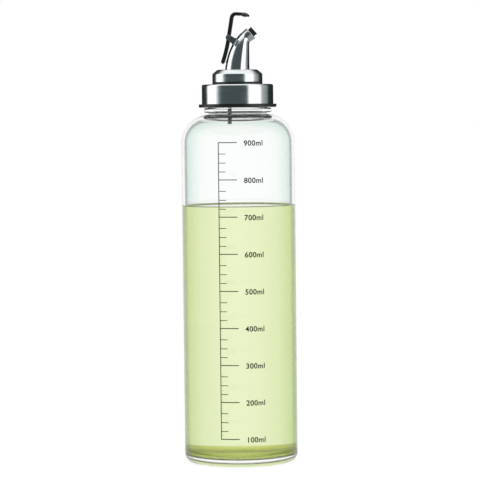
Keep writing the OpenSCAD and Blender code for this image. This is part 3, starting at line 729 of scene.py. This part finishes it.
def strip(bm, x0, x1, z0, z1):
    """A printed strip on the glass, as a thin closed plate."""
    steps = max(1, round((x1 - x0) / 0.8))
    rows = []
    for k in range(steps + 1):
        x = mix(x0, x1, k / steps)
        corners = [(*round_wall(x, d), z) for d, z in ((0, z0), (0, z1), (-PRINT_T, z1), (-PRINT_T, z0))]
        rows.append([bm.verts.new(Vector(c) * MM) for c in corners])
    for a, b in zip(rows, rows[1:]):
        for k in range(4):
            bm.faces.new((a[k], a[(k + 1) % 4], b[(k + 1) % 4], b[k]))
    bm.faces.new(rows[0])
    bm.faces.new(rows[-1])


def add_lines():
    """The upright line of the scale with a long mark for each number and short ones between."""
    bm = bmesh.new()
    line, long_end, short_end = [math.asin(x / BODY_R) * BODY_R for x in (LINE_A, LONG_END, SHORT_END)]
    strip(bm, line - HALF_LINE, line + HALF_LINE, MARK_LOW - HALF_LINE, MARK_TOP + HALF_LINE)
    for i in range(MARKS):
        z = MARK_TOP - i * MARK_STEP
        strip(bm, line + HALF_LINE, long_end, z - HALF_LINE, z + HALF_LINE)
        if i == MARKS - 1:
            break
        for share in SHORT_SHARES:
            z_short, half = z - share * MARK_STEP, HALF_LINE * SHORT_THIN
            strip(bm, line + HALF_LINE, short_end, z_short - half, z_short + half)
    bmesh.ops.recalc_face_normals(bm, faces=bm.faces)
    mesh = bpy.data.meshes.new("scale_lines")
    bm.to_mesh(mesh)
    bm.free()
    lines = bpy.data.objects.new("scale_lines", mesh)
    bpy.context.scene.collection.objects.link(lines)
    dress(lines, INK, "bottle")


def add_labels():
    """The numbers of the scale, bent round the glass."""
    for i in range(MARKS):
        amount = 100 * (MARKS - i)
        text = bpy.data.curves.new("label", "FONT")
        text.body = f"{amount}ml"
        text.size, text.extrude, text.offset = LABEL_H * FONT_SCALE, PRINT_T / 2, FONT_WEIGHT
        text.space_character = FONT_GAP
        holder = bpy.data.objects.new("label", text)
        bpy.context.scene.collection.objects.link(holder)
        mesh = bpy.data.meshes.new_from_object(holder)
        bpy.data.objects.remove(holder)
        z0 = MARK_TOP - i * MARK_STEP - LABEL_H / 2 - LABEL_DROP
        for v in mesh.vertices:
            x, y = round_wall(LABEL_X + v.co.x, v.co.z - PRINT_T / 2)
            v.co = Vector((x, y, z0 + v.co.y)) * MM
        label = bpy.data.objects.new(f"scale_{amount}", mesh)
        bpy.context.scene.collection.objects.link(label)
        dress(label, INK, "bottle")


# ---------------------------------------------------------------- collar
def add_collar():
    """The steel skin; the pieces inside the collar and stopper keep their CAD shape."""
    z0, z1, r = SHELL[0][2], SHELL[1][2], SHELL[1][0]
    inside, under = r - SHELL_T, z1 - SHELL_TOP_T
    path = fillet([(r, z0, 0.12), (r, z1, SHELL_EDGE), (SHELL_HOLE, z1, 0.1), (SHELL_HOLE, under, 0.05),
                   (inside, under, SHELL_EDGE - SHELL_T), (inside, z0, 0.12)], closed=True)
    dress(lathe("collar_skin", path), BRUSHED, "collar", ["collar_shell"])
    for node, material in (("collar_insert", PLASTIC), ("neck_gasket", SILICONE), ("stopper", SILICONE),
                           ("shank_tube", POLISHED)):
        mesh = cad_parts[node].data
        mesh.materials.clear()
        mesh.materials.append(material)


# ---------------------------------------------------------------- pourer
def add_dome():
    r, z0, z1, t = DOME[1][0], DOME[0][2], DOME[1][2], DOME_T
    outside = [(r, z0, 0.1), (r, z1 - DOME_DROP, 0.9), (r - DOME_RUN + 0.1, z1 - 0.15, 1.6),
               (DOME_HOLE, z1, 0)]
    inside = [(DOME_HOLE, z1 - t, 0), (r - DOME_RUN, z1 - t - 0.15, 1.2), (r - t, z1 - DOME_DROP - 0.2, 0.6),
              (r - t, z0, 0.1)]
    path = fillet(outside + inside, closed=True)
    dress(lathe("dome", path), DOME_STEEL, "pourer", ["pourer_dome"])


def spout_ring(u, grow, segs):
    """Circle between the back and front rails at u, grown outwards by grow."""
    back, front = rail_back(u), rail_front(u)
    centre, across = (back + front) / 2, (back - front) / 2
    r = across.length + grow
    across.normalize()
    ring = []
    for k in range(segs):
        a = TAU * k / segs
        p = centre + r * math.cos(a) * across
        ring.append((p.x, r * math.sin(a), p.y))
    return ring


def add_spout():
    steps = 110
    outer = [spout_ring(i / steps, 0, FINE_SEGS) for i in range(steps + 1)]
    inner = [spout_ring(i / steps, -SPOUT_T, FINE_SEGS) for i in range(steps, -1, -1)]
    spout = make("spout", outer + inner)
    drill = vectors(((0, 0), (AIR_HOLE_R, 0), (AIR_HOLE_R, 5), (0, 5)))
    place = Matrix.Translation((-10, 0, DOME_Z + VENT_RISE)) @ Matrix.Rotation(math.pi / 2, 4, "Y")
    combine(spout, lathe("hole", drill, loop=False, segs=40, place=place), "DIFFERENCE")
    dress(spout, POLISHED, "pourer", ["spout_tube"])


def add_mouth():
    """The rolled ring at the mouth and the soft tip in it."""
    path = fillet([(RING_BORE_R, -RING_T, 0.05), (MOUTH_R, -RING_T, 0.12), (MOUTH_R, 0, 0.42),
                   (RING_BORE_R, 0, 0.3)], closed=True)
    ring = lathe("mouth_ring_new", path, segs=96, place=AT_MOUTH)
    dress(ring, POLISHED, "pourer", ["mouth_ring"])
    plug = [(TIP_BORE_R, -TIP_PLUG, 0), (3.3, -TIP_PLUG, 0.2), (3.6, -RING_T, 0), (TIP_R - 0.2, -RING_T, 0)]
    head = [(TIP_R - 0.22, TIP_OUT - 0.75, 0.15), (TIP_R, TIP_OUT - 0.6, 0.1), (TIP_R, TIP_OUT, 0.2),
            (TIP_BORE_R, TIP_OUT, 0.25)]
    tip = lathe("soft_tip", fillet(plug + head, closed=True), segs=96, place=AT_MOUTH)
    dress(tip, SILICONE, "pourer", ["tip_insert"])


def add_vent():
    """The air tube: up through the shank, then round to its hole in the spout's back."""
    top, end = DOME_Z + VENT_RISE, rail_back(0.09).x - AIR_HOLE_SINK
    line = vectors((VENT_X, z) for z in (VENT[0][2], 240.0, 255.0))
    line += arc(VENT_X - VENT_BEND, top - VENT_BEND, VENT_BEND, 0, 90, 10)
    line += vectors([(end, top)])
    circle = [(math.cos(TAU * k / 40), math.sin(TAU * k / 40)) for k in range(40)]
    outer = sweep_rings(line, lambda i: [(VENT_R * c, VENT_R * s) for c, s in circle])
    inner = sweep_rings(line, lambda i: [(VENT_BORE_R * c, VENT_BORE_R * s) for c, s in circle])
    dress(make("air_tube", outer + inner[::-1]), PLASTIC, "pourer", ["vent_tube"])


# ---------------------------------------------------------------- hinge
def saddle():
    """The bracket's sheet, bent round the spout's back."""
    rings, half, segs = [], SADDLE_HALF, 72
    for i in range(13):
        u = mix(SADDLE_FROM, SADDLE_TO, i / 12)
        outer, inner = spout_ring(u, SADDLE_T, segs), spout_ring(u, -SADDLE_SINK, segs)
        out = [outer[k % segs] for k in range(-half, half + 1)]
        rings.append(out + [inner[k % segs] for k in range(half, -half - 1, -1)])
    return make("bracket", rings, loop=False, ends="strips")


def add_bracket():
    bracket = saddle()
    foot = HINGE_FOOT - EAR_SINK * HINGE_OUT
    way = math.degrees(math.atan2(HINGE_OUT.y, HINGE_OUT.x))
    head = arc(PIVOT.x, PIVOT.y, EAR_R, way + EAR_FROM, way + EAR_TO, 18)
    outline = [foot + EAR_UP * HINGE_UP] + head + [foot - EAR_DOWN * HINGE_UP]
    for side in (-1, 1):
        y0, y1 = sorted((side * SLOT_W / 2, side * (SLOT_W / 2 + EAR_T)))
        combine(bracket, bevel(plate("ear", outline, y0, y1), EAR_EDGE), "UNION")
    dress(bracket, GREY_STEEL, "pourer", ["hinge_bracket"])


def add_pin():
    half, head_r = SLOT_W / 2 + EAR_T, PIN_R + PIN_HEAD
    end = [(0, -half - PIN_HEAD_T, 0), (head_r, -half - PIN_HEAD_T, 0.15), (head_r, -half, 0.05),
           (PIN_R, -half, 0)]
    path = fillet(end + [(r, -z, c) for r, z, c in reversed(end)])
    pin = lathe("pin", path, loop=False, segs=40, place=AT_PIVOT @ ALONG_Y)
    dress(pin, GREY_STEEL, "pourer", ["hinge_pin"])


# ---------------------------------------------------------------- flap
def arm_line():
    """Middle line of the arm in the cap seat's frame, from the pin to the cap."""
    start = (PIVOT - CAP_SEAT).dot(-AXIS_N), (PIVOT - CAP_SEAT).dot(AXIS_D)
    return fillet([(*start, 0), (ELBOW.x, ELBOW.y, ELBOW_R), (TOP_IN.x, TOP_IN.y, 0)])


def tail_rings():
    """Rings of the tail from the pin down to its rounded end."""
    def lean(degrees, length):
        a = math.radians(degrees)
        return PIVOT - length * Vector((math.sin(a), math.cos(a)))

    knee, tip = lean(TAIL_LEAN, TAIL_LEN * KNEE_SHARE), lean(TAIL_END_LEAN, TAIL_LEN - TAIL_T / 2)
    line = [quad(PIVOT, knee, tip, k / TAIL_STEPS) for k in range(TAIL_STEPS + 1)]
    way = (line[-1] - line[-2]).normalized()
    ends = [math.radians(d) for d in TAIL_CURVE]
    sizes = [TAIL_T] * len(line) + [TAIL_T * math.cos(a) for a in ends]
    line += [tip + way * (TAIL_T / 2) * math.sin(a) for a in ends]
    widths = [LEVER_W - (TAIL_T - size) * 0.25 for size in sizes]
    return sweep_rings(line, lambda i: rounded_box(sizes[i], widths[i], LEVER_ROUND))


def cap_path():
    """Side view of the round cap with its domed top."""
    edge = fillet([(0, PAD_PROUD, 0), (CAP_R, PAD_PROUD, CAP_ROUND), (CAP_R, CAP_EDGE, 0.1),
                   (CAP_TOP_R, CAP_EDGE + 0.05, 0)])[:-1]
    return edge + sphere_cap(CAP_H, CAP_R, CAP_H - CAP_EDGE, (CAP_TOP_R, 3.0, 2.4, 1.8, 1.2, 0.6, 0))


def add_flap():
    """The lever with its arm, cap, hub and tail as one moulding, and the pad under its cap."""
    at_hub = AT_PIVOT @ ALONG_Y
    line = arm_line()
    last = len(line) - 1
    arm = sweep_rings(line, lambda i: rounded_box(mix(ARM_T, TOP_T, i / last), LEVER_W, LEVER_ROUND))
    lever = make("lever", arm, loop=False, place=AT_SEAT)
    combine(lever, lathe("cap", cap_path(), loop=False, segs=FINE_SEGS, place=AT_SEAT), "UNION")
    hub_r, half = PIN_R + HUB_WALL, LEVER_W / 2
    hub = fillet([(0, -half, 0), (hub_r, -half, 0.4), (hub_r, half, 0.4), (0, half, 0)])
    combine(lever, lathe("hub", hub, loop=False, segs=48, place=at_hub), "UNION")
    combine(lever, make("tail", tail_rings(), loop=False), "UNION")
    bore_r, past = PIN_R + PIN_PLAY, 5
    bore = vectors(((0, -past), (bore_r, -past), (bore_r, past), (0, past)))
    combine(lever, lathe("bore", bore, loop=False, segs=40, place=at_hub), "DIFFERENCE")
    seat_r = TIP_R + SEAT_RELIEF
    recess = vectors(((0, -1), (seat_r, -1), (seat_r, PAD_PROUD), (PAD_R, PAD_PROUD), (PAD_R, PAD_T),
                      (0, PAD_T)))
    combine(lever, lathe("recess", recess, loop=False, segs=FINE_SEGS, place=AT_SEAT), "DIFFERENCE")
    dress(lever, LEVER_BLACK, "flap", ["flap_lever"], crease=math.radians(30))
    button = [(0, -BUTTON_H, 0), (BUTTON_R, -BUTTON_H, 0.12), (BUTTON_R, 0, 0.08)]
    disc = [(PAD_R, 0, 0.12), (PAD_R, PAD_T, 0), (0, PAD_T, 0)]
    pad = lathe("soft_pad", fillet(button + disc), loop=False, segs=FINE_SEGS, place=AT_SEAT)
    dress(pad, SILICONE, "flap", ["flap_pad"])


add_bottle()
add_oil()
add_lines()
add_labels()
add_collar()
add_dome()
add_spout()
add_mouth()
add_vent()
add_bracket()
add_pin()
add_flap()
